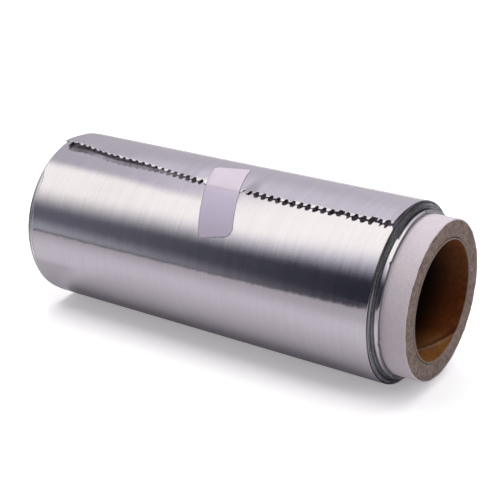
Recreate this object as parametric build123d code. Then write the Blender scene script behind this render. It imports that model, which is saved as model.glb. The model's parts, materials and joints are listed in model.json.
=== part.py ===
"""Short roll of aluminium foil on a spiral-wound card core, lying on its side.

The roll's axis runs along X, with the end where the core stands out at +X.
Z is up, and the roll lies on the small flat that its own weight presses into the
outer turns. The origin is in the middle of the roll's length, on the surface
that it lies on, straight below its axis.

Heights round the roll are given in degrees: 0 faces -Y, and 90 is the top.
Distances along the web are measured from the wound edge at the core's proud end.
"""
import os
from math import cos, radians, sin

from build123d import *

# ---------------------------------------------------------------- driving sizes, mm
# Card core
CORE_BORE_RADIUS = 17.75
CORE_OUTER_RADIUS = 23.1
FACE_PAPER = 0.25          # white paper round the outside of the core
LINER = 0.45               # brown kraft ply round the bore
CORE_PROUD = 9.9           # how far the core stands out of the turns at +X
CORE_RECESS = 0.0          # how far its other end lies inside the turns

# Wound foil
WEB_WIDTH = 120.0          # from one wound edge to the other
WINDING = 3.27             # all the turns, measured outwards from the core
INNER_WINDING = 1.12       # the turns that have moved along with the core
INNER_SHIFT = 2.45         # how far they have moved towards +X
INNER_CHAMFER = 0.25       # broken corner of the moved turns
EDGE_SLOPE = 0.95          # how far the other turns' wound edges lean
REST_FLAT_DEPTH = 0.17     # how far the resting flat is pressed in

# Loose end of the sheet, which comes over the top from behind
TAIL_SHEET = 0.20          # modelling thickness of the loose sheet
TAIL_SINK = 0.10           # how much of it is sunk in the turns where it hugs them
TAIL_START = 142.0         # height where it leaves the turns' outline
TAIL_PEEL = 24.0           # degrees of wrap over which a lifted stretch peels off
TAIL_INSET_CORE_END = 0.4  # its side edge inside the wound edge at +X
TAIL_INSET_FAR_END = 1.7   # the same at -X
TAIL_TRIM = 1.2            # degrees of sheet past the cut edge, which the teeth trim away

# Its cut edge: height in degrees and lift in mm, from the core end to the far end
EDGE_CORE_END = 62.6
EDGE_MIDDLE = 62.8
EDGE_TAPED_NEAR = 64.2     # where the tape holds it, on the core's side
EDGE_TAPED_FAR = 65.0      # the same on the far side
EDGE_FAR_END = 71.4
CORNER_LIFT = 1.3
CORNER_LENGTH = 18.0       # length of the corner that has curled up
NEAR_LIFT = 0.9            # between that corner and the tape
NEAR_FALL = 11.0           # length over which it comes down to the tape
FAR_LIFT = 2.1

TOOTH_PITCH = 2.5
TOOTH_DEPTH = 1.15
TOOTH_TIP = 0.45           # share of the pitch that a blunt tooth keeps at its tip
TOOTH_ROOT = 0.75          # share of the pitch that it has at its root

# Frosted tape tab that holds the loose end down
TAPE_WIDTH = 11.2
TAPE_SHEET = 0.17          # modelling thickness over the loose end
TAPE_TOP = 88.0            # height of its upper end
TAPE_BOTTOM = 28.5
TAPE_MIDDLE = 54.8         # distance of its middle along the web
TAPE_SLANT = 17.4          # degrees that it is turned from straight round the roll
TAPE_CORNER = 2.4          # radius of its rounded corners
TAPE_HOLD = 8.5            # how far either side of its middle the loose end is held down

# ---------------------------------------------------------------- derived places
FOIL_RADIUS = CORE_OUTER_RADIUS + WINDING
INNER_RADIUS = CORE_OUTER_RADIUS + INNER_WINDING
CORE_LENGTH = CORE_PROUD + WEB_WIDTH - CORE_RECESS
X_TURNS = (WEB_WIDTH - CORE_PROUD) / 2
X_FAR = X_TURNS - WEB_WIDTH
AXIS_Z = FOIL_RADIUS - REST_FLAT_DEPTH
AXIS_LINE = Axis((0, 0, AXIS_Z), (1, 0, 0))


def outward(degrees):
    """Direction straight out of the roll at a height."""
    return Vector(0, -cos(radians(degrees)), sin(radians(degrees)))


def on_wrap(x, degrees, radius):
    """Point round the roll's axis."""
    return Vector(x, 0, AXIS_Z) + outward(degrees) * radius


def wrap_plane(x, degrees, radius):
    """Plane whose Z points out of the roll, and whose Y runs up over it."""
    return Plane(on_wrap(x, degrees, radius), x_dir=(1, 0, 0), z_dir=outward(degrees))


def tube(x_low, x_high, inner, outer):
    """Plain tube about the roll's axis."""
    section = Plane((x_low, 0, AXIS_Z), x_dir=(0, 1, 0), z_dir=(1, 0, 0))
    return extrude(section * (Circle(outer) - Circle(inner)), amount=x_high - x_low)


# ---------------------------------------------------------------- wound turns
def wound_turns():
    """All turns as one solid: the inner ones stand out at +X and lie in at -X."""
    profile = [
        (X_TURNS + INNER_SHIFT, CORE_OUTER_RADIUS),
        (X_TURNS + INNER_SHIFT, INNER_RADIUS - INNER_CHAMFER),
        (X_TURNS + INNER_SHIFT - INNER_CHAMFER, INNER_RADIUS),
        (X_TURNS + EDGE_SLOPE, INNER_RADIUS),
        (X_TURNS, FOIL_RADIUS),
        (X_FAR, FOIL_RADIUS),
        (X_FAR + EDGE_SLOPE, INNER_RADIUS),
        (X_FAR + INNER_SHIFT, INNER_RADIUS),
        (X_FAR + INNER_SHIFT, CORE_OUTER_RADIUS),
    ]
    points = [(x, 0, AXIS_Z + radius) for x, radius in profile]
    return revolve(make_face(Polyline(*points, close=True)), AXIS_LINE, 360)


# ---------------------------------------------------------------- loose end
def cut_edge():
    """Stations along the cut edge: distance along the web, height and lift."""
    held_near = TAPE_MIDDLE - TAPE_HOLD
    held_far = TAPE_MIDDLE + TAPE_HOLD
    stations = [
        (0.0, EDGE_CORE_END, CORNER_LIFT),
        (CORNER_LENGTH, EDGE_MIDDLE, NEAR_LIFT),
        (held_near - NEAR_FALL, EDGE_MIDDLE, NEAR_LIFT),
        (held_near, EDGE_TAPED_NEAR, 0.0),
        (held_far, EDGE_TAPED_FAR, 0.0),
    ]
    for share in (0.25, 0.5, 1.0):
        distance = held_far + share * (WEB_WIDTH - held_far)
        height = EDGE_TAPED_FAR + share ** 1.5 * (EDGE_FAR_END - EDGE_TAPED_FAR)
        stations.append((distance, height, FAR_LIFT * sin(radians(90 * share)) ** 0.75))
    return stations


def edge_height(distance):
    """Height of the cut edge at any distance along the web."""
    stations = cut_edge()
    for (near, low, _), (far, high, _) in zip(stations, stations[1:]):
        if distance <= far:
            return low + (high - low) * max(0.0, distance - near) / (far - near)
    return EDGE_FAR_END


def tail_section(x, height, lift):
    """Closed outline of the loose sheet at one place along the web."""
    peel_from = height + TAIL_PEEL
    free = [peel_from - TAIL_PEEL * share for share in (0.0, 0.25, 0.5, 0.75)]
    hugging = [TAIL_START - (TAIL_START - peel_from) * share for share in (0.0, 0.33, 0.67)]
    under = []
    over = []
    for degrees in hugging + free + [height - TAIL_TRIM]:
        peel = max(0.0, peel_from - degrees) / TAIL_PEEL
        radius = FOIL_RADIUS - TAIL_SINK + lift * peel ** 2
        if degrees == TAIL_START:
            radius -= TAIL_SHEET
        under.append(on_wrap(x, degrees, radius))
        over.append(on_wrap(x, degrees, radius + TAIL_SHEET))
    edges = [
        Spline(*under),
        Line(under[-1], over[-1]),
        Spline(*reversed(over)),
        Line(over[0], under[0]),
    ]
    return make_face(Wire(edges))


def serration():
    """Block that trims the loose end to its teeth, cut along the sheet's normal."""
    plane_height = (EDGE_MIDDLE + EDGE_FAR_END) / 2
    clear = 3 * TAIL_SHEET + FAR_LIFT + CORNER_LIFT
    plane = wrap_plane(0, plane_height, FOIL_RADIUS - clear)

    def local(distance, depth):
        """Place on the plane, for a depth measured back into the sheet."""
        height = edge_height(distance) - plane_height
        return (X_TURNS - distance, FOIL_RADIUS * sin(radians(height)) + depth)

    points = []
    for index in range(int(WEB_WIDTH / TOOTH_PITCH) + 3):
        middle = (index - 0.9) * TOOTH_PITCH
        for side, depth in ((-TOOTH_ROOT, TOOTH_DEPTH), (-TOOTH_TIP, 0.0),
                            (TOOTH_TIP, 0.0), (TOOTH_ROOT, TOOTH_DEPTH)):
            points.append(local(middle + side * TOOTH_PITCH / 2, depth))
    below = -FOIL_RADIUS / 2
    points.append((points[-1][0], below))
    points.append((points[0][0], below))
    outline = make_face(Polyline(*points, close=True))
    return extrude(plane * outline, amount=2 * clear)


def loose_end():
    """The sheet's last stretch, lofted along the web and cut with teeth."""
    low = X_FAR + TAIL_INSET_FAR_END
    high = X_TURNS - TAIL_INSET_CORE_END
    sections = []
    for distance, height, lift in cut_edge():
        x = min(max(X_TURNS - distance, low), high)
        sections.append(tail_section(x, height, lift))
    return loft(sections, ruled=True) - serration()


def resting_flat():
    """Block below the surface that the roll lies on."""
    size = 4 * FOIL_RADIUS
    return Pos(0, 0, -size / 2) * Box(2 * CORE_LENGTH, size, size)


def foil_roll():
    """Turns and loose end in one piece, pressed flat where they rest."""
    return wound_turns() + loose_end() - resting_flat()


# ---------------------------------------------------------------- tape
def tape_tab(foil):
    """Tape laid over the loose end's cut edge and down onto the turn below."""
    middle = (TAPE_TOP + TAPE_BOTTOM) / 2
    chord = 2 * FOIL_RADIUS * sin(radians((TAPE_TOP - TAPE_BOTTOM) / 2))
    plane = wrap_plane(X_TURNS - TAPE_MIDDLE, middle, FOIL_RADIUS / 2)
    outline = plane.rotated((0, 0, TAPE_SLANT)) * RectangleRounded(TAPE_WIDTH, chord, TAPE_CORNER)
    block = extrude(outline, amount=FOIL_RADIUS)
    outside = FOIL_RADIUS + TAIL_SHEET - TAIL_SINK + TAPE_SHEET
    sheet = tube(X_FAR, X_TURNS, FOIL_RADIUS - TAIL_SINK / 2, outside)
    return (sheet & block) - foil


# ---------------------------------------------------------------- core
def core_pieces():
    """White face paper, grey board and brown liner, each a full-length tube."""
    low = X_FAR + CORE_RECESS
    high = low + CORE_LENGTH
    board_inner = CORE_BORE_RADIUS + LINER
    board_outer = CORE_OUTER_RADIUS - FACE_PAPER
    return {
        "core_face_paper": tube(low, high, board_outer, CORE_OUTER_RADIUS),
        "core_board": tube(low, high, board_inner, board_outer),
        "core_liner": tube(low, high, CORE_BORE_RADIUS, board_inner),
    }


def main():
    """Build every piece and write one file for each."""
    foil = foil_roll()
    pieces = {"foil_roll": foil, "tape_tab": tape_tab(foil)}
    pieces.update(core_pieces())
    os.makedirs("parts", exist_ok=True)
    for name, piece in pieces.items():
        export_step(piece, f"parts/{name}.step")
        print(name, len(piece.solids()), round(piece.volume, 2), piece.is_valid)


main()
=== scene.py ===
import json
import math
import random

import bmesh
import bpy
from bpy.props import FloatProperty, FloatVectorProperty, IntProperty, PointerProperty
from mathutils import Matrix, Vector


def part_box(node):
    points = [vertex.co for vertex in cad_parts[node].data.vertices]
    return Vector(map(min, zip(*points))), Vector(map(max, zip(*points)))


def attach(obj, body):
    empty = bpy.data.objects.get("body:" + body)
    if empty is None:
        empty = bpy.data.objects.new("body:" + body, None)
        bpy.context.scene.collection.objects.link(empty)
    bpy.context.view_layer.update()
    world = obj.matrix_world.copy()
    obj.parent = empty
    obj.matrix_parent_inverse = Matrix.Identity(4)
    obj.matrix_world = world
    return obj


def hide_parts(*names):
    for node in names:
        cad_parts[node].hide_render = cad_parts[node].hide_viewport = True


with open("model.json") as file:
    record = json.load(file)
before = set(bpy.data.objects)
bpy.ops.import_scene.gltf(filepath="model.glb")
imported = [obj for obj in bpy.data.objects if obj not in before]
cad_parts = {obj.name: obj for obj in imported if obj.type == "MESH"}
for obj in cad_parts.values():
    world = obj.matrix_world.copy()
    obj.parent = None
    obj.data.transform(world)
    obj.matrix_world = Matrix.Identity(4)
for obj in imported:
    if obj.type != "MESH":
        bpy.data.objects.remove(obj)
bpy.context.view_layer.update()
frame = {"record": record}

bl_info = {
    "name": "Foil Roll",
    "version": (1, 0, 0),
    "blender": (4, 5, 0),
    "location": "3D View > Sidebar > Foil Roll",
    "description": "Roll of aluminium foil on a card core, with a taped serrated end",
    "category": "Add Mesh",
}

MM = 0.001
DEGREE = math.radians(1.0)

# -------------------- places from the frame
BORE = next(mount for mount in frame["record"]["mounts"] if mount["name"] == "core_bore")
AXIS_Z = BORE["pos_m"][2]
BORE_RADIUS = BORE["dims"]["r_mm"] * MM
CORE_LOW, CORE_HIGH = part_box("core_board")
PAPER_LOW, PAPER_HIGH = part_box("core_face_paper")
FOIL_LOW, FOIL_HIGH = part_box("foil_roll")
CORE_RADIUS = (PAPER_HIGH[2] - PAPER_LOW[2]) / 2
BOARD_RADIUS = (CORE_HIGH[2] - CORE_LOW[2]) / 2


def hex_colour(code):
    """Linear colour from a display colour in hexadecimal."""
    parts = [int(code[place:place + 2], 16) / 255 for place in (0, 2, 4)]
    return tuple(c / 12.92 if c <= 0.04045 else ((c + 0.055) / 1.055) ** 2.4 for c in parts)


# -------------------- sizes and colours
def length(name, description, millimetres):
    """A length property whose default is given in millimetres."""
    return FloatProperty(name=name, description=description, default=millimetres * MM,
                         unit="LENGTH", precision=5)


def number(name, description, default):
    """A plain number property."""
    return FloatProperty(name=name, description=description, default=default)


def tint(name, description, default):
    """A colour property."""
    return FloatVectorProperty(name=name, description=description, subtype="COLOR", size=3,
                               default=default)


class FoilSizes(bpy.types.PropertyGroup):
    """Sizes of the wound foil and its loose end."""

    flat_depth: length("Resting Flat", "How far the turns are pressed in where the roll lies", 0.17)
    inner_winding: length("Moved Winding", "Thickness of the turns that moved with the core", 1.12)
    inner_shift: length("Moved By", "How far those turns stand out at the core's end", 2.45)
    edge_slope: length("Edge Slope", "How far the other turns' wound edges lean", 0.95)
    sheet: length("Sheet", "Thickness that the outermost turn is drawn with", 0.04)
    lift: length("Lift", "Gap under the cut edge where the tape doesn't hold it", 0.93)
    far_lift: length("Far Lift", "How much more the far third of the cut edge has lifted", 1.15)
    corner_curl: length("Corner Curl", "How far the corner at the core's end has curled up", 0.15)
    tooth_pitch: length("Tooth Pitch", "Distance between the teeth of the cut edge", 2.5)
    tooth_depth: length("Tooth Depth", "Depth of the notches between the teeth", 1.15)
    ripple: length("Ripple", "Height of the soft waves in the sheet", 0.04)
    turn_edges: IntProperty(
        name="Turn Edges", description="Number of separate steps that the wound edges show",
        default=15, min=3)


class TapeSizes(bpy.types.PropertyGroup):
    """Sizes of the tape tab."""

    width: length("Width", "Width of the tape", 11.2)
    middle: length("Middle", "Distance of its middle along the web", 54.8)
    top: number("Top", "Height of its upper end in degrees", 88.0)
    bottom: number("Bottom", "Height of its lower end in degrees", 28.5)
    slant: number("Slant", "Degrees that it is turned on the roll", 17.4)


class Finishes(bpy.types.PropertyGroup):
    """Colours of the roll's materials."""

    foil: tint("Foil", "Colour of the bright foil", (0.86, 0.83, 0.87))
    edges: tint("Wound Edges", "Colour of the turns' cut edges", (0.41, 0.41, 0.44))
    tape: tint("Tape", "Colour of the frosted tape", hex_colour("d9ceda"))
    paper: tint("Paper", "Colour of the core's white paper", hex_colour("d2c8cf"))
    board: tint("Board", "Colour of the core's board", hex_colour("84736b"))
    liner: tint("Liner", "Colour of the paper in the bore", hex_colour("824a19"))


class StageSettings(bpy.types.PropertyGroup):
    """Camera and lights."""

    lens: number("Lens", "Focal length in millimetres", 85.88)
    camera: FloatVectorProperty(
        name="Camera", description="Where the camera stands", subtype="XYZ", unit="LENGTH", size=3,
        default=(0.18602, -0.27911, 0.16132))
    aim: FloatVectorProperty(
        name="Aim", description="Direction that the camera looks in", size=3,
        default=(-0.51260, 0.77391, -0.37180))
    key: number("Key", "Power of the soft light above", 7.4)
    end_light: number("End Light", "Power of the light on the core's end", 0.9)


# -------------------- node expressions
def overload(operation):
    """An operator of Value and its reflected form, each as one Math node."""
    return (lambda value, other: value.graph.math(operation, value, other),
            lambda value, other: value.graph.math(operation, other, value))


class Value:
    """A node's output that takes part in expressions."""

    def __init__(self, graph, socket):
        self.graph = graph
        self.socket = socket

    __add__, __radd__ = overload("ADD")
    __sub__, __rsub__ = overload("SUBTRACT")
    __mul__, __rmul__ = overload("MULTIPLY")
    __truediv__, __rtruediv__ = overload("DIVIDE")
    __pow__, __rpow__ = overload("POWER")

    def __neg__(self):
        return self.graph.math("MULTIPLY", self, -1.0)


class Graph:
    """Adds nodes to one tree, for a material, the world or a shape."""

    def __init__(self, tree):
        self.tree = tree

    def feed(self, socket, value):
        """Link a value to a socket, or set the socket to a plain number or colour."""
        if isinstance(value, Value):
            self.tree.links.new(value.socket, socket)
        else:
            socket.default_value = value

    def node(self, kind, settings=(), sockets=(), out=0):
        """Add any node: its settings come first, then its sockets' values or links."""
        made = self.tree.nodes.new(kind)
        for name, value in dict(settings).items():
            setattr(made, name, value)
        for key, value in dict(sockets).items():
            self.feed(made.inputs[key], value)
        if out is None:
            return made
        if isinstance(out, (list, tuple)):
            return [Value(self, made.outputs[key]) for key in out]
        return Value(self, made.outputs[out])

    def math(self, operation, *operands):
        """One Math node."""
        return self.node("ShaderNodeMath", {"operation": operation}, dict(enumerate(operands)))

    def clamp(self, value):
        """The value kept between 0 and 1."""
        return self.node("ShaderNodeClamp", {}, {0: value})

    def smooth(self, value, start, end, unit=1.0):
        """0 before start, 1 after end, eased between them; both are counted in a unit."""
        sockets = {0: value, 1: start * unit, 2: end * unit, 3: 0.0, 4: 1.0}
        return self.node("ShaderNodeMapRange", {"interpolation_type": "SMOOTHSTEP"}, sockets)

    def vector(self, x, y, z):
        """A vector from three values."""
        return self.node("ShaderNodeCombineXYZ", {}, {0: x, 1: y, 2: z})

    def parts(self, vector):
        """The three values of a vector."""
        return self.node("ShaderNodeSeparateXYZ", {}, {0: vector}, out=(0, 1, 2))

    def noise(self, vector, scale, detail=2.0, roughness=0.5):
        """Noise from 0 to 1."""
        sockets = {"Vector": vector, "Scale": scale, "Detail": detail, "Roughness": roughness}
        return self.node("ShaderNodeTexNoise", {}, sockets)

    def pattern(self, x, y, z, detail=2.0, roughness=0.5):
        """Noise from 0 to 1 over three values, which say how it is drawn out."""
        return self.noise(self.vector(x, y, z), 1.0, detail, roughness)

    def mix(self, first, second, factor, blend="MIX"):
        """Two colours mixed."""
        settings = {"data_type": "RGBA", "blend_type": blend}
        return self.node("ShaderNodeMix", settings, {0: factor, 6: first, 7: second}, out=2)

    def joined(self, operation, first, second=(0.0, 0.0, 0.0)):
        """One Vector Math node."""
        return self.node("ShaderNodeVectorMath", {"operation": operation}, {0: first, 1: second})


# -------------------- shader helpers
def toned(colour, factor=1.0):
    """A colour made darker or lighter, for a socket."""
    return (*(c * factor for c in colour), 1.0)


def new_material(name):
    """An empty material, its graph and its output node."""
    material = bpy.data.materials.new(name)
    material.use_nodes = True
    material.node_tree.nodes.clear()
    graph = Graph(material.node_tree)
    output = graph.node("ShaderNodeOutputMaterial", out=None)
    return material, graph, output


def round_the_roll(graph):
    """Place on the roll: distance along it, height angle in radians, and distance from its axis."""
    position = graph.node("ShaderNodeTexCoord", out="Object")
    x, y, z = graph.parts(position)
    level = z - AXIS_Z
    angle = graph.math("ARCTAN2", level, -y)
    radius = graph.math("SQRT", y * y + level * level)
    return position, x, angle, radius


def surface(graph, output, **sockets):
    """Principled surface with named sockets."""
    names = {key: key.replace("_", " ").title().replace("Ior", "IOR") for key in sockets}
    named = {names[key]: value for key, value in sockets.items()}
    shader = graph.node("ShaderNodeBsdfPrincipled", {}, named)
    graph.feed(output.inputs["Surface"], shader)


def bump(graph, height, distance):
    """Normal from a height field."""
    sockets = {"Height": height, "Distance": distance, "Strength": 1.0}
    return graph.node("ShaderNodeBump", {}, sockets)


# -------------------- materials
TAPE_HOLD = 8.5 * MM      # how far beyond the tape's middle the loose end is held down
BOARD_PLY = 0.62 * MM     # thickness of one ply of the core's board
SEAM_HEIGHT = -128.5      # height of the liner's joint at the core's mouth
SEAM_TURN = 4950.0        # degrees that the joint turns in a metre of core
# partly a painted highlight where the ply's raised edge along the joint catches light
LAP_EDGE_AND_HIGHLIGHT = (0.42, 0.3, 0.18)       # cut edge of the kraft ply along that joint
LINER_RIM = (0.24, 0.19, 0.16)      # its cut rim at the core's mouth


def gap_glow(graph, x, angle, lines, streaks):
    """Light that bounces many times under the lifted end, which few light paths reach."""
    low, high = web_ends(bpy.context.scene.foil_sizes)
    held = bpy.context.scene.tape_sizes.middle + TAPE_HOLD
    d = high - x
    from_edge = angle / DEGREE - cut_edge_height(graph, d, high - low, held)
    near_edge = graph.smooth(from_edge, 5.4, 3.1)
    lifted = graph.smooth(d, 66, 80, MM)
    corner = 0.65 * graph.smooth(d, 106, 114, MM)
    level = 0.15 + 0.09 * graph.smooth(d, 76, 112, MM)
    uneven = 0.3 * (streaks - 0.5) + 0.4 * (lines - 0.5)
    return graph.math("MAXIMUM", near_edge * lifted * (1.0 - corner) * (level + uneven), 0.0)


def foil_material(colour):
    """Bright rolled foil: fine mill lines run round the roll, with a soft unevenness.

    The sheet's inner face is its dull side.
    """
    material, graph, output = new_material("bright_foil")
    position, x, angle, radius = round_the_roll(graph)

    def drawn(across, along, place, detail=2.0, roughness=0.5):
        """Noise that is drawn out round the roll."""
        return graph.pattern(x * across, angle * along, place, detail, roughness)

    lines = drawn(1400.0, 1.2, 0.0, 3.0, 0.6)
    streaks = drawn(520.0, 0.5, 11.0, 2.0, 0.6)
    broad = drawn(260.0, 0.9, 3.0)
    patches = drawn(45.0, 2.2, 7.0, 3.0, 0.6)
    dents = graph.noise(position, 120.0, 1.0)
    grain = graph.noise(position, 2600.0, 2.0)
    tone = graph.clamp(0.45 * lines + 0.4 * streaks + 0.55 * patches - 0.15)
    base = graph.mix(toned(colour, 0.84), toned(colour, 1.07), tone)

    # how far the face points away from the roll's axis: the inner face is below 0
    _, normal_y, normal_z = graph.parts(graph.node("ShaderNodeNewGeometry", out="True Normal"))
    _, y, z = graph.parts(position)
    level = z - AXIS_Z
    outward = (normal_y * y + normal_z * level) / radius
    dull = graph.smooth(outward, -0.2, -0.6)

    # the rolled sheet's narrow tracks lean a little up or down round the roll
    track = drawn(1700.0, 2.4, 21.0, 2.0, 0.6) - 0.5
    wide_track = drawn(300.0, 1.3, 31.0) - 0.5
    speck = drawn(2600.0, 70.0, 5.0) - 0.5
    lean = 0.05 * track + 0.016 * wide_track + 0.05 * speck
    height = lines * 0.6 + streaks * 0.6 + broad * 0.9 + grain * 0.35 + dents * 4.0
    along = graph.vector(0.0, lean * level / radius, -lean * y / radius)
    leaning = graph.joined("ADD", bump(graph, height, 0.0035 * MM), along)

    glow = dull * gap_glow(graph, x, angle, lines, streaks)
    surface(graph, output, base_color=base, metallic=1.0 - 0.4 * dull,
            roughness=0.07 + 0.05 * lines + 0.06 * patches + 0.3 * dull,
            normal=graph.joined("NORMALIZE", leaning),
            emission_color=graph.vector(glow, glow * 0.97, glow * 1.05), emission_strength=1.0)
    return material


def edge_material(name, colour):
    """Cut edges of the turns: dull, with fine rings of light and dark."""
    material, graph, output = new_material(name)
    _, x, angle, radius = round_the_roll(graph)
    rings = graph.pattern(radius * 5200.0, angle * 0.5, x * 900.0, 3.0, 0.75)
    worn = graph.pattern(radius * 2500.0, angle * 5.0, x * 900.0, 3.0, 0.6)
    light = graph.smooth(rings * 0.8 + worn * 0.2, 0.38, 0.64)
    bright = toned([min(1.0, c * 1.5) for c in colour])
    surface(graph, output, base_color=graph.mix(toned(colour, 0.3), bright, light), metallic=0.85,
            roughness=0.29 - 0.08 * light, normal=bump(graph, rings, 0.05 * MM))
    return material


def tape_material(colour):
    """Frosted film: milky, slightly see-through, with a fine tooth."""
    material, graph, output = new_material("frosted_tape")
    position, _, angle, _ = round_the_roll(graph)
    tooth = graph.noise(position, 5200.0, 2.0)
    cloud = graph.noise(position, 260.0, 3.0)
    # painted shade: the film is drawn darker and bluer where it is stuck down flat than where it
    # bridges the loose end, for the lower part that the light reaches less
    lower_shade = graph.smooth(angle / DEGREE, EDGE_LOW + 4.0, EDGE_LOW - 3.0)
    # painted shade: the darker, bluer tone of the film's lower, stuck-down part
    clear = toned((colour[0] * 0.78, colour[1] * 0.78, colour[2] * 0.87))
    tone = graph.mix(toned(colour, 0.93), toned(colour), cloud)
    tone = graph.mix(tone, clear, lower_shade)
    surface(graph, output, base_color=tone, roughness=0.42 + 0.12 * cloud,
            alpha=0.92 + 0.04 * cloud, specular_ior_level=0.25,
            normal=bump(graph, tooth, 0.02 * MM))
    return material


def paper_material(colour):
    """White paper round the core, with fibres and faint clouding."""
    material, graph, output = new_material("white_core_paper")
    position = graph.node("ShaderNodeTexCoord", out="Object")
    fibres = graph.noise(position, 1100.0, 4.0, 0.65)
    cloud = graph.noise(position, 160.0, 4.0, 0.6)
    shade = graph.clamp(0.8 * fibres + 0.5 * cloud - 0.05)
    tone = graph.mix(toned(colour, 0.8), toned(colour, 1.08), shade)
    surface(graph, output, base_color=tone, roughness=0.85,
            normal=bump(graph, fibres, 0.1 * MM))
    return material


def board_material(colour):
    """Grey board: speckled cut face with the faint rings of its plies."""
    material, graph, output = new_material("grey_board")
    position, x, angle, radius = round_the_roll(graph)
    wander = graph.pattern(angle * 2.0, x * 300.0, 0.0, 2.0) * 0.12 * MM
    plies = graph.math("FRACT", (radius + wander) / BOARD_PLY)
    inside_ply = graph.smooth(graph.math("ABSOLUTE", plies - 0.5), 0.5, 0.36)
    speckle = graph.noise(position, 950.0, 4.0, 0.7)
    cloud = graph.noise(position, 420.0, 3.0, 0.6)
    shade = graph.smooth(speckle * 0.75 + cloud * 0.35, 0.33, 0.75)
    base = graph.mix(toned(colour, 0.5), toned(colour, 1.5), shade)
    tone = graph.mix(toned(colour, 0.5), base, 0.55 + 0.45 * inside_ply)
    surface(graph, output, base_color=tone, roughness=0.92,
            normal=bump(graph, speckle * 0.7 + inside_ply * 0.6, 0.14 * MM))
    return material


def seam_place(graph, degrees, depth):
    """Share of a turn from the liner's helical joint, from 0 to 1, at a depth in the bore."""
    return graph.math("FRACT", (degrees - SEAM_HEIGHT - depth * SEAM_TURN) / 360.0)


def liner_material(colour):
    """Brown kraft ply: long fibres and a darker line along its helical joint."""
    material, graph, output = new_material("brown_core_liner")
    position, x, angle, _ = round_the_roll(graph)
    depth = CORE_HIGH[0] - x
    fibres = graph.noise(position, 900.0, 5.0, 0.7)
    streaks = graph.pattern(x * 700.0, angle * 9.0, 0.0, 3.0, 0.6)
    cloud = graph.noise(position, 120.0, 3.0)
    shade = graph.smooth(0.5 * fibres + 0.35 * streaks + 0.25 * cloud, 0.35, 0.75)
    worn = (colour[0] * 1.3, colour[1] * 1.2, colour[2] * 1.1)
    tone = graph.mix(toned(colour, 0.55), toned(worn), shade)

    joint = seam_place(graph, angle / DEGREE, depth)
    gap = graph.smooth(joint, 0.965, 0.985) * graph.smooth(joint, 1.0, 0.992)
    lap_edge_and_highlight = graph.smooth(joint, 0.022, 0.004)
    tone = graph.mix(tone, toned(colour, 0.25), 0.6 * gap)
    # the lap's lighter line: the ply's cut edge, partly a painted highlight on its raised edge
    tone = graph.mix(tone, toned(LAP_EDGE_AND_HIGHLIGHT), 0.3 * lap_edge_and_highlight)

    # painted light and shade: the bottom of the bore is drawn lighter and greyer, and the lower
    # side above it darker and browner
    height = graph.math("SINE", angle)
    bottom_light = graph.smooth(height, -0.78, -0.97)
    side_shade = graph.smooth(height, 0.3, -0.25) * (1.0 - bottom_light)
    # painted shade on the lower side of the bore, then painted light along its bottom
    tone = graph.mix(tone, toned((0.66, 0.5, 0.34)), side_shade, "MULTIPLY")
    tone = graph.mix(tone, toned((1.25, 1.6, 2.1)), bottom_light, "MULTIPLY")

    # painted shade: it darkens from the mouth inwards, deeper in the bore where less light reaches,
    # and its cut rim is as grey as the board
    tone = graph.mix(tone, toned(colour, 0.04), graph.smooth(depth, 1.5, 13.5, MM))
    tone = graph.mix(tone, toned(LINER_RIM), graph.smooth(depth, 0.5, 0.15, MM))
    surface(graph, output, base_color=tone, roughness=0.78,
            normal=bump(graph, fibres * 0.6 + streaks * 0.4, 0.08 * MM))
    return material


# -------------------- mesh helpers
def on_wrap(x, degrees, radius):
    """Point round the roll's axis: 0 degrees faces -Y and 90 is the top."""
    angle = math.radians(degrees)
    return Vector((x, -radius * math.cos(angle), AXIS_Z + radius * math.sin(angle)))


def mesh_object(name, points, faces, materials, smooth=True):
    """A piece at the origin from points and faces."""
    mesh = bpy.data.meshes.new(name)
    mesh.from_pydata([tuple(point) for point in points], [], faces)
    for material in materials:
        mesh.materials.append(material)
    mesh.polygons.foreach_set("use_smooth", [smooth] * len(mesh.polygons))
    mesh.update()
    piece = bpy.data.objects.new(name, mesh)
    bpy.context.scene.collection.objects.link(piece)
    return piece


def lathe(name, profile, around, sharp, materials, slot_of=None, radius_at=None, shift_at=None):
    """Closed ring of profile corners (x, radius) turned about the roll's axis.

    Edges sharper than sharp, in degrees, stay crisp. radius_at and shift_at may change a
    corner's radius and place with the angle, and slot_of picks the material of the band
    that follows each corner.
    """
    count = len(profile)
    points = []
    for turn in range(around):
        degrees = 360.0 * turn / around
        for corner, (x, radius) in enumerate(profile):
            if radius_at:
                radius += radius_at(corner, degrees)
            if shift_at:
                x += shift_at(corner, degrees)
            points.append(on_wrap(x, degrees, radius))
    faces = []
    slots = []
    for turn in range(around):
        for corner in range(count):
            a = turn * count + corner
            b = turn * count + (corner + 1) % count
            c = ((turn + 1) % around) * count + (corner + 1) % count
            d = ((turn + 1) % around) * count + corner
            faces.append((a, b, c, d))
            slots.append(slot_of(corner) if slot_of else 0)
    piece = mesh_object(name, points, faces, materials)
    piece.data.polygons.foreach_set("material_index", slots)
    point_out(piece)
    piece.data.set_sharp_from_angle(angle=math.radians(sharp))
    return piece


def point_out(piece):
    """Make the faces of a closed piece point outwards."""
    shape = bmesh.new()
    shape.from_mesh(piece.data)
    bmesh.ops.recalc_face_normals(shape, faces=shape.faces)
    shape.to_mesh(piece.data)
    shape.free()


def thicken(piece, name, thickness, offset):
    """Give a sheet its thickness, to the side that offset says."""
    solid = piece.modifiers.new(name, "SOLIDIFY")
    solid.thickness = thickness
    solid.offset = offset
    return solid


def settle(piece, node):
    """Join the piece to the roll's one body and hide the part that it stands in for."""
    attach(piece, "root")
    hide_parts(node)


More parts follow.
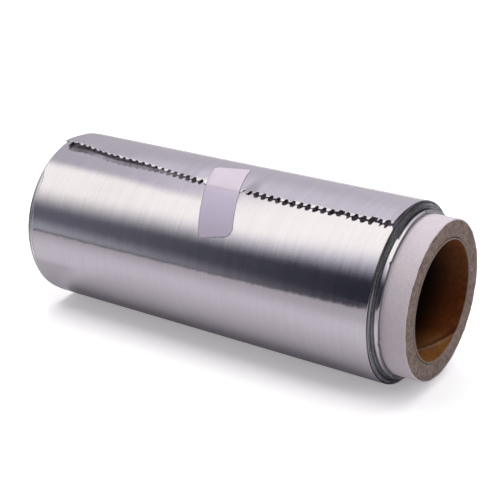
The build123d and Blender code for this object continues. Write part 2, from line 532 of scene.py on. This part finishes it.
def grown(name, tree, inputs, material):
    """A plain mesh piece grown by a shape tree with its named inputs set."""
    carrier = mesh_object(name + "_carrier", [(0, 0, 0)], [], [])
    modifier = carrier.modifiers.new("shape", "NODES")
    modifier.node_group = tree
    sockets = {item.name: item for item in tree.interface.items_tree if item.in_out == "INPUT"}
    for key, value in inputs.items():
        modifier[sockets[key].identifier] = value
    evaluated = carrier.evaluated_get(bpy.context.evaluated_depsgraph_get())
    mesh = bpy.data.meshes.new_from_object(evaluated)
    mesh.name = name
    bpy.data.objects.remove(carrier)
    piece = bpy.data.objects.new(name, mesh)
    bpy.context.scene.collection.objects.link(piece)
    if not mesh.materials:
        mesh.materials.append(material)
    return piece


def new_shape(name, inputs):
    """An empty shape tree, its graph, and its named number inputs as values."""
    tree = bpy.data.node_groups.new(name, "GeometryNodeTree")
    tree.interface.new_socket("Geometry", in_out="OUTPUT", socket_type="NodeSocketGeometry")
    tree.interface.new_socket("Geometry", in_out="INPUT", socket_type="NodeSocketGeometry")
    for key in inputs:
        tree.interface.new_socket(key, in_out="INPUT", socket_type="NodeSocketFloat")
    graph = Graph(tree)
    entry = graph.node("NodeGroupInput", out=None)
    values = {key: Value(graph, entry.outputs[key]) for key in inputs}
    return tree, graph, values


def finish_shape(graph, geometry, material):
    """End a shape tree: real geometry with its material."""
    real = graph.node("GeometryNodeRealizeInstances", {}, {0: geometry})
    painted = graph.node("GeometryNodeSetMaterial", {}, {"Geometry": real, "Material": material})
    graph.node("NodeGroupOutput", {}, {0: painted}, out=None)


def bent_grid(graph, columns, rows):
    """A grid whose two running shares, from 0 to 1, place its points."""
    sockets = {"Size X": 1.0, "Size Y": 1.0, "Vertices X": columns, "Vertices Y": rows}
    grid = graph.node("GeometryNodeMeshGrid", {}, sockets)
    across, along, _ = graph.parts(graph.node("GeometryNodeInputPosition"))
    return grid, across + 0.5, along + 0.5


def place_grid(graph, grid, x, angle, radius):
    """Put a grid's points round the roll's axis, no lower than the surface it lies on."""
    y = -radius * graph.math("COSINE", angle)
    z = graph.math("MAXIMUM", AXIS_Z + radius * graph.math("SINE", angle), 0.0)
    sockets = {"Geometry": grid, "Position": graph.vector(x, y, z)}
    placed = graph.node("GeometryNodeSetPosition", {}, sockets)
    return graph.node("GeometryNodeSetShadeSmooth", {}, {"Geometry": placed, "Shade Smooth": True})


# -------------------- outermost turn
# d is a distance along the web, from the wound edge at the core's end
WRAP_START = 118.0        # height where the outermost turn starts, hidden under its own end
EDGE_LOW = 62.2           # lowest height of the cut edge, between the tape and the core's end
CLOSE_ROWS = 30.0         # degrees of wrap before the cut edge that get close rows
CLOSE_SHARE = 0.36        # share of the rows that lie there
PEEL_LENGTH = 36.0        # degrees of wrap over which the loose end peels off
TIP_LENGTH = 2.6          # degrees of wrap at the cut edge that the cutter has bent
SLACK = 0.05 * MM         # how much closer the sheet's start lies than its end
FIRST_TOOTH = 0.9         # share of a tooth's pitch that the core's end cuts off
TORN = ((16.2, 1.1, 0.2), (6.1, 1.15, 0.25), (1.9, 0.85, 0.15))   # place, half width, depth
TURN_ROWS = 96
COLUMNS_PER_TOOTH = 10


def web_ends(sizes):
    """Both wound edges along X: the far one, and the one at the core's end."""
    return FOIL_LOW[0], FOIL_HIGH[0] - sizes.inner_shift


def bent_stretch(graph, d):
    """1 along the lifted stretch whose teeth are bent down, eased to 0 at its ends."""
    return graph.smooth(d, 66, 84, MM) * graph.smooth(d, 118, 112, MM)


def cut_edge_height(graph, d, width, held):
    """Height of the cut edge, in degrees, at a distance along the web."""
    share = graph.clamp((d - held) / (width - held))
    taped = 1.3 * graph.smooth(d, 33, 50, MM) + 0.5 * graph.smooth(d, 50, 66, MM)
    beak = 2.2 * graph.smooth(d, 99, 114, MM)
    middle = 0.55 * graph.smooth(d, 62, 76, MM) * graph.smooth(d, 99, 86, MM)
    return EDGE_LOW + taped + 6.2 * share ** 1.2 + middle + 0.55 * bent_stretch(graph, d) + beak


def cut_edge_lift(graph, d, values):
    """Gap under the cut edge at a distance along the web."""
    from_tape = graph.math("ABSOLUTE", d - values["Taped At"] - 1.0 * MM)
    pressed = graph.smooth(from_tape, 11.5, 6.0, MM)
    corner = (1.0 - graph.clamp(d / (14 * MM))) ** 1.5
    wander = graph.pattern(d * 130.0, 2.0, 0.0, 2.0)
    usual = values["Lift"] * (0.86 + 0.36 * wander) * (1.0 - 0.84 * pressed)
    usual = usual + 0.2 * MM * graph.smooth(d, 22, 4, MM)
    far = graph.smooth(d, 72, 98, MM) + 0.05 * graph.smooth(d, 106, 120, MM)
    return usual + values["Far Lift"] * far + values["Corner Curl"] * corner


def teeth(graph, d, values):
    """How far the cut edge reaches, from 0 in a notch to 1 on a tooth, and a draw per tooth."""
    count = d / values["Tooth Pitch"] + FIRST_TOOTH
    place = graph.math("ABSOLUTE", graph.math("FRACT", count) - 0.5) * 2.0
    number = graph.math("FLOOR", count + 0.5)
    drawn = graph.node("ShaderNodeTexWhiteNoise", {"noise_dimensions": "1D"},
                       {"W": number + values["Seed"]})
    reach = graph.smooth(place, 0.18, 0.68)
    uncut = graph.smooth(d, 115.5, 117.5, MM)
    uneven = 0.3 + 0.3 * graph.smooth(d, 26, 18, MM)
    reach = graph.math("MAXIMUM", reach * (1.1 - uneven * (1.0 - drawn)), uncut)
    for middle, half, depth in TORN:
        away = graph.math("ABSOLUTE", d - middle * MM)
        hole = graph.smooth(away, half, half * 0.75, MM)
        reach = reach * (1.0 - hole) - depth * hole
    ragged = graph.pattern(d * 1500.0, 4.0, 0.0, 2.0) - 0.5
    rough_cut = 0.5 + 0.7 * graph.smooth(d, 22, 18, MM)
    return reach + ragged * rough_cut, drawn


def outermost_turn_shape(material, columns, rows):
    """The sheet's last turn: round the roll once, then over the top to its serrated cut."""
    tree, graph, values = new_shape("outermost_turn", (
        "Radius", "Web Start", "Web Width", "Lift", "Far Lift", "Corner Curl", "Tooth Pitch",
        "Tooth Depth", "Ripple", "Taped At", "Held At", "Seed"))
    grid, share, run = bent_grid(graph, columns, rows)
    width = values["Web Width"]
    d = share * width
    reach, drawn = teeth(graph, d, values)

    # wrap: degrees of sheet from its start, with close rows before the cut edge
    edge_wrap = WRAP_START + 360.0 - cut_edge_height(graph, d, width, values["Held At"])
    depth = values["Tooth Depth"] / values["Radius"] / DEGREE
    depth = depth * (1.0 - 0.5 * graph.smooth(d, 70, 95, MM))
    last = edge_wrap - depth * (1.0 - reach)
    near = WRAP_START + 360.0 - EDGE_LOW - CLOSE_ROWS
    first_rows = graph.clamp(run / (1.0 - CLOSE_SHARE)) * near
    close_rows = graph.clamp((run - (1.0 - CLOSE_SHARE)) / CLOSE_SHARE) * (last - near)
    wrap = first_rows + close_rows
    before = edge_wrap - wrap

    # behind its far corner, the sheet's side edge is turned down onto the turns
    turned = 0.85 * graph.smooth(d, 119.3, 119.9, MM) * graph.smooth(before, 0.6, 2.5)
    peel = graph.clamp(1.0 - (before / PEEL_LENGTH)) ** 2.0
    lift = cut_edge_lift(graph, d, values) * peel * (1.0 - turned)
    loose = graph.smooth(wrap, 250.0, 400.0)
    wave = graph.pattern(d * 42.0, wrap / 30.0, 1.0, 1.5) - 0.5
    fine = graph.pattern(d * 170.0, wrap / 90.0, 5.0, 2.0) - 0.5
    ripple = values["Ripple"] * (wave * (1.0 + loose) + fine * 0.35)
    tip = graph.clamp(1.0 - before / TIP_LENGTH) ** 2.0
    bent = 0.4 * drawn + 0.4 * bent_stretch(graph, d)
    curled = graph.smooth(d, 2.4, 0.0, MM) * graph.smooth(before, 26.0, 4.0)
    radius = values["Radius"] - SLACK + SLACK * wrap / 360.0 + lift + ripple
    radius = radius + tip * (0.03 - bent) * MM + curled * 0.1 * MM

    # its sides wander in a little from the wound edges, and more round the back
    near_side = loose * 0.15 * MM
    drawn_in = graph.smooth(wrap, 69.0, 73.0) * graph.smooth(wrap, 290.0, 230.0)
    far_side = 0.25 * MM + drawn_in * 1.45 * MM + loose * 1.1 * MM
    x = values["Web Start"] - near_side - share * (width - near_side - far_side)
    angle = (WRAP_START - wrap) * DEGREE
    finish_shape(graph, place_grid(graph, grid, x, angle, radius), material)
    return tree


class FOILROLL_OT_outermost_turn(bpy.types.Operator):
    """Make the sheet's last turn with its lifted, serrated end"""

    bl_idname = "foil_roll.outermost_turn"
    bl_label = "Outermost Turn"

    def execute(self, context):
        sizes = context.scene.foil_sizes
        tape = context.scene.tape_sizes
        material = foil_material(context.scene.roll_finishes.foil)
        low, high = web_ends(sizes)
        width = high - low
        columns = int(round(width / sizes.tooth_pitch)) * COLUMNS_PER_TOOTH + 1
        tree = outermost_turn_shape(material, columns, TURN_ROWS)
        piece = grown("outermost_turn", tree, {
            "Radius": AXIS_Z + sizes.flat_depth, "Web Start": high, "Web Width": width,
            "Lift": sizes.lift, "Far Lift": sizes.far_lift, "Corner Curl": sizes.corner_curl,
            "Tooth Pitch": sizes.tooth_pitch, "Tooth Depth": sizes.tooth_depth,
            "Ripple": sizes.ripple, "Taped At": tape.middle, "Held At": tape.middle + TAPE_HOLD,
            "Seed": 4.0}, material)
        thicken(piece, "sheet", sizes.sheet, -1.0).use_even_offset = False
        settle(piece, "foil_roll")
        return {"FINISHED"}


# -------------------- turns below
TURN_BELOW = 0.2 * MM     # how far the other turns' outline lies inside the last one's
FACE_TURNS = 5            # steps on the face of the turns that have moved
SLOTS = {"end": 0, "band": 1, "under": 2}     # which material each kind of band has
# height in degrees, half width in degrees and depth in mm of each nick
NICKS = ((41.0, 1.6, 0.45), (-14.0, 2.2, 0.3), (95.0, 1.2, 0.35), (170.0, 2.0, 0.4))
NICKED_CORNERS = 10       # corners of the outline, from the core out, that the nicks reach
TURNS_AROUND = 288


def ring_wave(degrees, *waves):
    """Sum of waves round the roll, each given by its height, count and phase."""
    return sum(height * math.sin(math.radians(count * degrees + phase))
               for height, count, phase in waves)


def turns_profile(sizes):
    """Outline of all the other turns, from the core out, with the steps of their wound edges."""
    low, high = web_ends(sizes)
    outside = AXIS_Z + sizes.flat_depth - TURN_BELOW
    inner = CORE_RADIUS + sizes.inner_winding
    proud = high + sizes.inner_shift
    slope = sizes.edge_slope
    draw = random.Random(11)
    corners = [("end", proud, CORE_RADIUS + 0.05 * MM)]
    for step in range(FACE_TURNS):
        radius = CORE_RADIUS + (inner - CORE_RADIUS) * (step + 0.6) / (FACE_TURNS + 0.6)
        corners.append(("end", proud - draw.uniform(0.0, 0.14) * MM, radius))
    corners += [
        ("end", proud - 0.02 * MM, inner - 0.13 * MM),
        ("band", proud - 0.05 * MM, inner - 0.04 * MM),
        ("band", proud - 0.15 * MM, inner),
        ("band", proud - 0.7 * MM, inner + 0.015 * MM),
        ("band", high + slope + 0.2 * MM, inner - 0.02 * MM),
        ("end", high + slope + 0.05 * MM, inner - 0.12 * MM),
        ("end", high + slope - 0.12 * MM, inner - 0.12 * MM),
    ]
    edges = sizes.turn_edges
    tread = (outside - inner) / edges
    for step in range(edges):
        share = (step + 0.3) / edges
        radius = inner + 0.05 * MM + share * (outside - inner - 0.05 * MM)
        x = high + slope * (1.0 - share ** 0.85) + draw.uniform(-0.07, 0.07) * MM
        corners.append(("end", x, radius))
        corners.append(("end", x - draw.uniform(0.05, 0.2) * MM, radius + 0.3 * tread))
    corners += [
        ("under", high - 0.1 * MM, outside),
        ("under", (low + high) / 2, outside),
        ("end", low + 0.1 * MM, outside),
    ]
    for step in range(edges):
        share = (step + 0.3) / edges
        radius = outside - share * (outside - inner)
        x = low + slope * share ** 1.2 + draw.uniform(-0.02, 0.1) * MM
        corners.append(("end", x, radius))
    corners += [
        ("band", low + slope, inner),
        ("band", low + sizes.inner_shift, inner - 0.05 * MM),
        ("end", low + sizes.inner_shift + 0.05 * MM, inner - 0.5 * (inner - CORE_RADIUS)),
        ("end", low + sizes.inner_shift, CORE_RADIUS + 0.05 * MM),
    ]
    return corners


class FOILROLL_OT_wound_turns(bpy.types.Operator):
    """Make the turns below the last one, with the moved turns and the steps of the wound edges"""

    bl_idname = "foil_roll.wound_turns"
    bl_label = "Wound Turns"

    def execute(self, context):
        sizes = context.scene.foil_sizes
        finishes = context.scene.roll_finishes
        corners = turns_profile(sizes)
        kinds = [kind for kind, _, _ in corners]
        wave = random.Random(5)
        phases = [wave.uniform(0, 360) for _ in corners]
        bottom = AXIS_Z - 0.06 * MM

        def radius_at(corner, degrees):
            """Waves in the turns, pressed flat where the roll rests."""
            radius = corners[corner][2]
            phase = phases[corner]
            change = ring_wave(degrees, (0.02 * MM, 2, phase), (0.012 * MM, 5, 3 * phase))
            drop = -math.sin(math.radians(degrees))
            if drop > 0 and (radius + change) * drop > bottom:
                change = bottom / drop - radius
            return change

        def shift_at(corner, degrees):
            """Waves in the wound edges, and nicks in those of the turns that have moved."""
            phase = phases[corner]
            change = ring_wave(degrees, (0.04 * MM, 1, phase), (0.02 * MM, 7, 2 * phase))
            if corner < NICKED_CORNERS:
                for middle, half, depth in NICKS:
                    away = abs((degrees - middle + 180) % 360 - 180)
                    if away < half:
                        change -= depth * MM * (1 - away / half)
            return change

        materials = [edge_material("wound_foil_edges", finishes.edges),
                     foil_material(finishes.foil),
                     edge_material("turn_below", [3.0 * c for c in finishes.edges])]
        piece = lathe("wound_turns", [(x, radius) for _, x, radius in corners], TURNS_AROUND, 14,
                      materials, slot_of=lambda corner: SLOTS[kinds[corner]],
                      radius_at=radius_at, shift_at=shift_at)
        settle(piece, "foil_roll")
        return {"FINISHED"}


# -------------------- tape
TAPE_FILM = 0.02 * MM
TAPE_COLUMNS, TAPE_ROWS = 24, 60
TAPE_TAPER = 0.05         # how far the tape's lower end is cut askew, as a share of its width
TAPE_STEP = 3.4           # steepness of the step where it comes down off the cut edge
TAPED_EDGE = EDGE_LOW + 1.7         # height of the cut edge below the tape
# radius of each corner in mm, by its side across and up
TAPE_CORNERS = {(-1, 1): 1.5, (1, 1): 0.3, (-1, -1): 2.0, (1, -1): 2.6}


class FOILROLL_OT_tape(bpy.types.Operator):
    """Lay the frosted tape tab over the cut edge"""

    bl_idname = "foil_roll.tape"
    bl_label = "Tape Tab"

    def execute(self, context):
        tape = context.scene.tape_sizes
        rows = [self.row_points(context.scene.foil_sizes, tape, 2.0 * row / TAPE_ROWS - 1.0)
                for row in range(TAPE_ROWS + 1)]
        stride = TAPE_COLUMNS + 1
        corners = [row * stride + column for row in range(TAPE_ROWS)
                   for column in range(TAPE_COLUMNS)]
        faces = [(a, a + 1, a + 1 + stride, a + stride) for a in corners]
        piece = mesh_object("tape_tab_film", [point for row in rows for point in row], faces,
                            [tape_material(context.scene.roll_finishes.tape)])
        thicken(piece, "film", TAPE_FILM, 1.0)
        settle(piece, "tape_tab")
        return {"FINISHED"}

    def row_points(self, sizes, tape, up):
        """One row of the film across the tape; up runs from -1 at its lower end to 1."""
        radius = AXIS_Z + sizes.flat_depth
        _, high = web_ends(sizes)
        half_width = tape.width / 2
        half_length = radius * math.radians(tape.top - tape.bottom) / 2
        middle = (tape.top + tape.bottom) / 2
        slant = math.radians(tape.slant)
        points = []
        for column in range(TAPE_COLUMNS + 1):
            across = 2.0 * column / TAPE_COLUMNS - 1.0
            a, b = across * half_width, up * half_length
            size = TAPE_CORNERS[(1 if a > 0 else -1, 1 if b > 0 else -1)] * MM
            inset = abs(b) - (half_length - size)
            if inset > 0:
                a = across * (half_width - size + math.sqrt(max(size ** 2 - inset ** 2, 0.0)))
            b -= TAPE_TAPER * half_width * (1 - up) / 2 * across
            x = high - tape.middle + a * math.cos(slant) - b * math.sin(slant)
            arc = b * math.cos(slant) + a * math.sin(slant)
            degrees = middle + math.degrees(arc / radius)
            above = degrees - TAPED_EDGE
            step = 1.0 / (1.0 + math.exp(-(above + 0.8) * TAPE_STEP))
            peel = max(0.0, 1.0 - max(0.0, above) / PEEL_LENGTH) ** 2
            rise = 0.03 * MM + (0.05 + 0.21 * peel) * MM * step
            points.append(on_wrap(x, degrees, radius + rise))
        return points


# -------------------- core
BOARD_AROUND, PAPER_AROUND = 216, 288
LINER_WALL = 0.4 * MM
LINER_COLUMNS, LINER_ROWS = 200, 181
# the board's cut rim: how far each corner is crushed in, in mm, at a share of its wall
RIM = ((0.18, 0.0), (0.04, 0.05), (0.0, 0.14), (0.03, 0.32), (0.0, 0.5), (0.02, 0.68),
       (0.0, 0.86), (0.05, 0.95), (0.2, 1.0))


def liner_shape(material, columns, rows):
    """Inner ply wound as a helix, each turn of it lapping over the last."""
    tree, graph, values = new_shape("core_liner", ("Radius", "Mouth", "Length", "Lap"))
    grid, share, run = bent_grid(graph, columns, rows)
    depth = share * values["Length"]
    x = values["Mouth"] - depth
    degrees = run * 360.0 - 180.0
    joint = seam_place(graph, degrees, depth)
    ridge = graph.smooth(joint, 0.045, 0.0)
    trough = graph.smooth(joint, 0.955, 0.985) * graph.smooth(joint, 1.0, 0.99)
    wander = graph.pattern(x * 90.0, degrees / 40.0, 0.0, 2.0) - 0.5
    radius = values["Radius"] - values["Lap"] * (ridge - 0.8 * trough) + wander * 0.05 * MM
    fray = graph.pattern(degrees / 2.2, 1.0, 0.0, 3.0) - 0.5
    x = x + graph.smooth(share, 0.01, 0.0) * fray * 0.25 * MM
    finish_shape(graph, place_grid(graph, grid, x, degrees * DEGREE, radius), material)
    return tree


class FOILROLL_OT_core(bpy.types.Operator):
    """Make the card core: white paper, board and brown liner"""

    bl_idname = "foil_roll.core"
    bl_label = "Card Core"

    def execute(self, context):
        finishes = context.scene.roll_finishes
        self.make_board(board_material(finishes.board))
        self.make_paper(paper_material(finishes.paper))
        self.make_liner(liner_material(finishes.liner))
        return {"FINISHED"}

    def make_board(self, material):
        """Board tube with softly crushed rims and a rough cut."""
        inner = BORE_RADIUS + 0.3 * MM
        wall = BOARD_RADIUS - 0.05 * MM - inner
        near = [(CORE_HIGH[0] - inset * MM, inner + share * wall) for inset, share in RIM]
        far = [(CORE_LOW[0] + inset * MM, inner + share * wall) for inset, share in reversed(RIM)]
        draw = random.Random(3)
        phases = [draw.uniform(0, 360) for _ in near + far]

        def shift_at(corner, degrees):
            """Rough cut of both ends."""
            phase = phases[corner]
            rough = ring_wave(degrees, (1.0, 9, phase), (1.0, 23, 2 * phase))
            return -0.03 * MM * (1 + rough) * (1 if corner < len(near) else -1)

        piece = lathe("core_board_tube", near + far, BOARD_AROUND, 40, [material],
                      shift_at=shift_at)
        settle(piece, "core_board")

    def make_paper(self, material):
        """White paper round the board, its edge a little ragged."""
        low, high = PAPER_LOW[0], PAPER_HIGH[0]
        inner = BOARD_RADIUS - 0.12 * MM
        outer = CORE_RADIUS
        draw = random.Random(8)
        waves = [(1.0, count, draw.uniform(0, 360)) for count in (3, 8, 17, 31, 53)]
        mouth = [(high - 0.03 * MM, inner), (high, inner + 0.1 * MM), (high, outer - 0.1 * MM),
                 (high - 0.05 * MM, outer - 0.02 * MM), (high - 0.3 * MM, outer)]
        profile = mouth + [(high - 2 * MM, outer), (high - 12.2 * MM, outer),
                           (low + 0.3 * MM, outer), (low, outer - 0.05 * MM), (low, inner)]

        def shift_at(corner, degrees):
            """Ragged edge at the mouth."""
            if corner >= len(mouth):
                return 0.0
            return -0.035 * MM * (2.2 + ring_wave(degrees, *waves))

        piece = lathe("core_white_paper", profile, PAPER_AROUND, 50, [material],
                      shift_at=shift_at)
        settle(piece, "core_face_paper")

    def make_liner(self, material):
        """Brown ply round the bore."""
        high = CORE_HIGH[0] - 0.02 * MM
        tree = liner_shape(material, LINER_COLUMNS, LINER_ROWS)
        piece = grown("core_liner_ply", tree, {
            "Radius": BORE_RADIUS + 0.02 * MM, "Mouth": high,
            "Length": CORE_HIGH[0] - CORE_LOW[0] - 0.04 * MM, "Lap": 0.28 * MM}, material)
        piece.modifiers.new("close", "WELD").merge_threshold = 0.01 * MM
        thicken(piece, "ply", LINER_WALL, 1.0)
        settle(piece, "core_liner")


# -------------------- stage
DARK_SIDE = toned((0.02, 0.02, 0.025))
DARK_FRONT = toned((0.05, 0.05, 0.055))
FILL = (1.0, 0.985, 1.0, 1.0)       # tone of the light that keeps shadows on the floor pale
TABLE = (0.48, 0.455, 0.49)
WIDE = [(-4, -4), (4, -4), (4, 4), (-4, 4)]
BEHIND = 0.08             # where the table that the lights reach begins
RAIL_HEIGHT = 0.0038
# where the table ends in front of the roll: along its side, then away past its far end
TABLE_EDGE = [(-4, -0.095), (-0.4, -0.095), (-0.15, -0.122), (-0.112, -0.134), (-0.09, -0.148),
              (-0.078, -0.162), (-0.067, -0.172), (-0.061, -0.195), (-0.058, -0.225),
              (-0.066, -0.275), (-0.2, -0.62), (-1.6, -3.4)]


def panel_world(world):
    """Studio surroundings, told by direction: a large soft light, a pale wall, a dark room."""
    world.use_nodes = True
    world.node_tree.nodes.clear()
    graph = Graph(world.node_tree)
    side, depth, up = graph.parts(graph.node("ShaderNodeTexCoord", out="Generated"))
    # rise: degrees from straight in front of the roll, over the top, to behind it
    rise = graph.math("ARCTAN2", up, -depth) / DEGREE
    # left: 0 at the side of the core's end, 1 at the far end's side
    left = graph.clamp((side + 0.42) / -0.24)
    # front: how far a direction has risen out of the dark room into the soft light
    middle_rise = 51.0 - 11.5 * graph.smooth(left, 0.0, 0.45) - 5.5 * graph.smooth(left, 0.5, 1.0)
    softer = 6.0 * graph.smooth(left, 0.25, 0.0)
    front = graph.smooth(rise - middle_rise, -20.5 - softer, 17.0 + softer)
    # back: how far it is still short of the pale wall behind that light
    back_limit = 112.0 - 32.0 * graph.smooth(left, 0.25, 0.62) + 6.0 * graph.smooth(left, 0.65, 0.8)
    back = graph.smooth(rise - back_limit, 7.0, -7.0)

    dark_level = 0.022 + 0.115 * left ** 1.2
    dark = graph.vector(dark_level * 0.92, dark_level * 0.94,
                        dark_level * 1.16 + 0.007 * (1.0 - left))
    low_grey = left * graph.smooth(rise, 6.0, -12.0) * 0.22
    dark = graph.joined("ADD", dark, graph.vector(low_grey, low_grey, low_grey * 1.05))
    nearer = graph.smooth(rise, 158.0, 124.0) * graph.smooth(left, 0.9, 0.5)
    wall_level = (0.55 - 0.09 * left) * (1.0 + 0.25 * nearer)
    wall = graph.vector(wall_level, wall_level * 0.95, wall_level * 1.06)
    soft_level = 1.1 - 0.06 * left
    soft = graph.vector(soft_level * 1.01, soft_level * 0.975, soft_level * 0.935)
    tone = graph.mix(dark, graph.mix(wall, soft, back), front)

    # the soft light's front edge is a little blue, and the core's side of the room is dark
    rim_blue = 0.3 * front * (1.0 - front) * (1.0 - left)
    tone = graph.joined("ADD", tone, graph.vector(0.0, rim_blue * 0.1, rim_blue))
    tone = graph.mix(tone, DARK_SIDE, 0.9 * graph.smooth(side, -0.38, -0.02))
    # matt surfaces gather less from low in front, and the camera sees plain white
    scattered = graph.node("ShaderNodeLightPath", out="Is Diffuse Ray")
    tone = graph.mix(tone, DARK_FRONT, 0.85 * scattered * graph.smooth(rise, 82.0, 50.0))
    seen = graph.node("ShaderNodeLightPath", out="Is Camera Ray")
    tone = graph.mix(tone, (1.0, 1.0, 1.0, 1.0), seen)
    shade = graph.node("ShaderNodeBackground", {}, {"Color": tone, "Strength": 1.0})
    graph.node("ShaderNodeOutputWorld", {}, {"Surface": shade}, out=None)


def matt_material(name, tones, level=1.0):
    """Matt stage surface: tones is its colour, or makes its colour and the light it gives."""
    material, graph, output = new_material(name)
    colour, glow = tones(graph) if callable(tones) else (toned(tones), FILL)
    surface(graph, output, base_color=colour, roughness=0.95, specular_ior_level=0.0,
            emission_color=glow, emission_strength=level)
    return material


def table_tones(graph):
    """The table in front of the roll, with the light that its foil throws down there."""
    x, y, _ = graph.parts(graph.node("ShaderNodeTexCoord", out="Object"))
    farther = 0.23 * graph.smooth(-y, 40, 120, MM)
    end_shadow = 0.2 * graph.smooth(-x, 60, 70, MM) * graph.smooth(-y, 38, 32, MM)
    shade = 1.0 - graph.math("MAXIMUM", farther, end_shadow)
    fading = 1.0 - 0.5 * graph.smooth(-y, 60, 100, MM)
    thrown = 0.06 * shade * fading * graph.smooth(-y, 2, 14, MM)
    tone = graph.vector(*(c * shade for c in TABLE))
    return tone, graph.vector(thrown, thrown * 0.955, thrown * 1.02)


def lit_table_tones(graph):
    """The table behind the roll, which the lights reach less on its left."""
    x, y, _ = graph.parts(graph.node("ShaderNodeTexCoord", out="Object"))
    level = 0.52 - 0.24 * graph.smooth(-x / y, 0.6, 0.95)
    return toned((0.3, 0.29, 0.3)), graph.vector(level, level * 0.985, level)


def flat_sheet(name, corners, level, material):
    """A flat stage piece."""
    points = [(x, y, level) for x, y in corners]
    piece = mesh_object(name, points, [tuple(range(len(points)))], [material], smooth=False)
    return piece


def unseen(thing, *rays):
    """Hide a stage piece or a light from some kinds of ray."""
    for ray in rays:
        setattr(thing, "visible_" + ray, False)


class FOILROLL_OT_stage(bpy.types.Operator):
    """Make the floor, the lights and the camera"""

    bl_idname = "foil_roll.stage"
    bl_label = "Stage"

    def execute(self, context):
        scene = context.scene
        settings = scene.stage_settings
        self.make_camera(scene, settings)
        scene.world = scene.world or bpy.data.worlds.new("studio")
        panel_world(scene.world)
        self.make_floor()
        self.make_light(scene, "key", (0.0, 0.07, 0.75), (1.25, 1.0), settings.key)
        self.make_light(scene, "end_light", (0.55, -0.12, 0.4), (0.25, 0.25), settings.end_light)
        scene.view_settings.view_transform = "Standard"
        scene.view_settings.look = "None"
        return {"FINISHED"}

    def make_camera(self, scene, settings):
        """Camera on the roll's open end, a little above it."""
        data = bpy.data.cameras.new("camera")
        data.lens = settings.lens
        data.sensor_width = 36.0
        data.dof.use_dof = False
        camera = bpy.data.objects.new("camera", data)
        scene.collection.objects.link(camera)
        camera.location = settings.camera
        camera.rotation_euler = Vector(settings.aim).to_track_quat("-Z", "Y").to_euler()
        scene.camera = camera

    def make_floor(self):
        """White floor that the camera sees, and the table that only the foil reflects."""
        seen = flat_sheet("floor", WIDE, 0.0,
                          matt_material("white_floor", (0.95, 0.95, 0.95), 0.315))
        unseen(seen, "glossy", "diffuse", "shadow")
        table = flat_sheet("table", [(-4, BEHIND)] + TABLE_EDGE + [(4, -3.4), (4, BEHIND)], -0.0002,
                           matt_material("grey_table", table_tones))
        unseen(table, "camera", "diffuse")
        bounce = flat_sheet("floor_bounce", WIDE, -0.0004,
                            matt_material("pale_bounce", (0.95, 0.94, 0.95), 0.0))
        unseen(bounce, "camera", "glossy")
        beyond = flat_sheet("floor_beyond", [(-4, BEHIND), (4, BEHIND), (4, 4), (-4, 4)], -0.0002,
                            matt_material("lit_table", lit_table_tones))
        unseen(beyond, "camera")
        points = [(x, y, level) for level in (0.0, RAIL_HEIGHT) for x, y in TABLE_EDGE]
        count = len(TABLE_EDGE)
        faces = [(a, a + 1, a + 1 + count, a + count) for a in range(count - 1)]
        rail = mesh_object("table_rail", points, faces,
                           [matt_material("dark_rail", (0.02, 0.02, 0.025), 0.0)])
        unseen(rail, "camera", "shadow")

    def make_light(self, scene, name, place, size, power):
        """Soft light that faces the roll, and that neither the foil nor the camera sees."""
        data = bpy.data.lights.new(name, "AREA")
        data.shape = "RECTANGLE"
        data.size, data.size_y = size
        data.energy = power
        light = bpy.data.objects.new(name, data)
        scene.collection.objects.link(light)
        light.location = place
        light.rotation_euler = (-light.location).to_track_quat("-Z", "Y").to_euler()
        unseen(light, "glossy", "camera")


# -------------------- add-on
class FOILROLL_PT_panel(bpy.types.Panel):
    """Sidebar panel with the roll's pieces."""

    bl_idname = "FOILROLL_PT_panel"
    bl_label = "Foil Roll"
    bl_space_type = "VIEW_3D"
    bl_region_type = "UI"
    bl_category = "Foil Roll"

    def draw(self, context):
        for operator in OPERATORS:
            self.layout.operator(operator.bl_idname)


OPERATORS = (FOILROLL_OT_stage, FOILROLL_OT_outermost_turn, FOILROLL_OT_wound_turns,
             FOILROLL_OT_tape, FOILROLL_OT_core)
GROUPS = {"foil_sizes": FoilSizes, "tape_sizes": TapeSizes, "roll_finishes": Finishes,
          "stage_settings": StageSettings}


def register():
    """Add the properties, operators and panel."""
    for name, group in GROUPS.items():
        bpy.utils.register_class(group)
        setattr(bpy.types.Scene, name, PointerProperty(type=group))
    for operator in OPERATORS:
        bpy.utils.register_class(operator)
    bpy.utils.register_class(FOILROLL_PT_panel)


def unregister():
    """Remove them again."""
    bpy.utils.unregister_class(FOILROLL_PT_panel)
    for operator in reversed(OPERATORS):
        bpy.utils.unregister_class(operator)
    for name, group in GROUPS.items():
        delattr(bpy.types.Scene, name)
        bpy.utils.unregister_class(group)


def main():
    """Make the whole roll and its stage."""
    register()
    bpy.ops.foil_roll.stage()
    bpy.ops.foil_roll.outermost_turn()
    bpy.ops.foil_roll.wound_turns()
    bpy.ops.foil_roll.tape()
    bpy.ops.foil_roll.core()


if __name__ == "__main__":
    main()
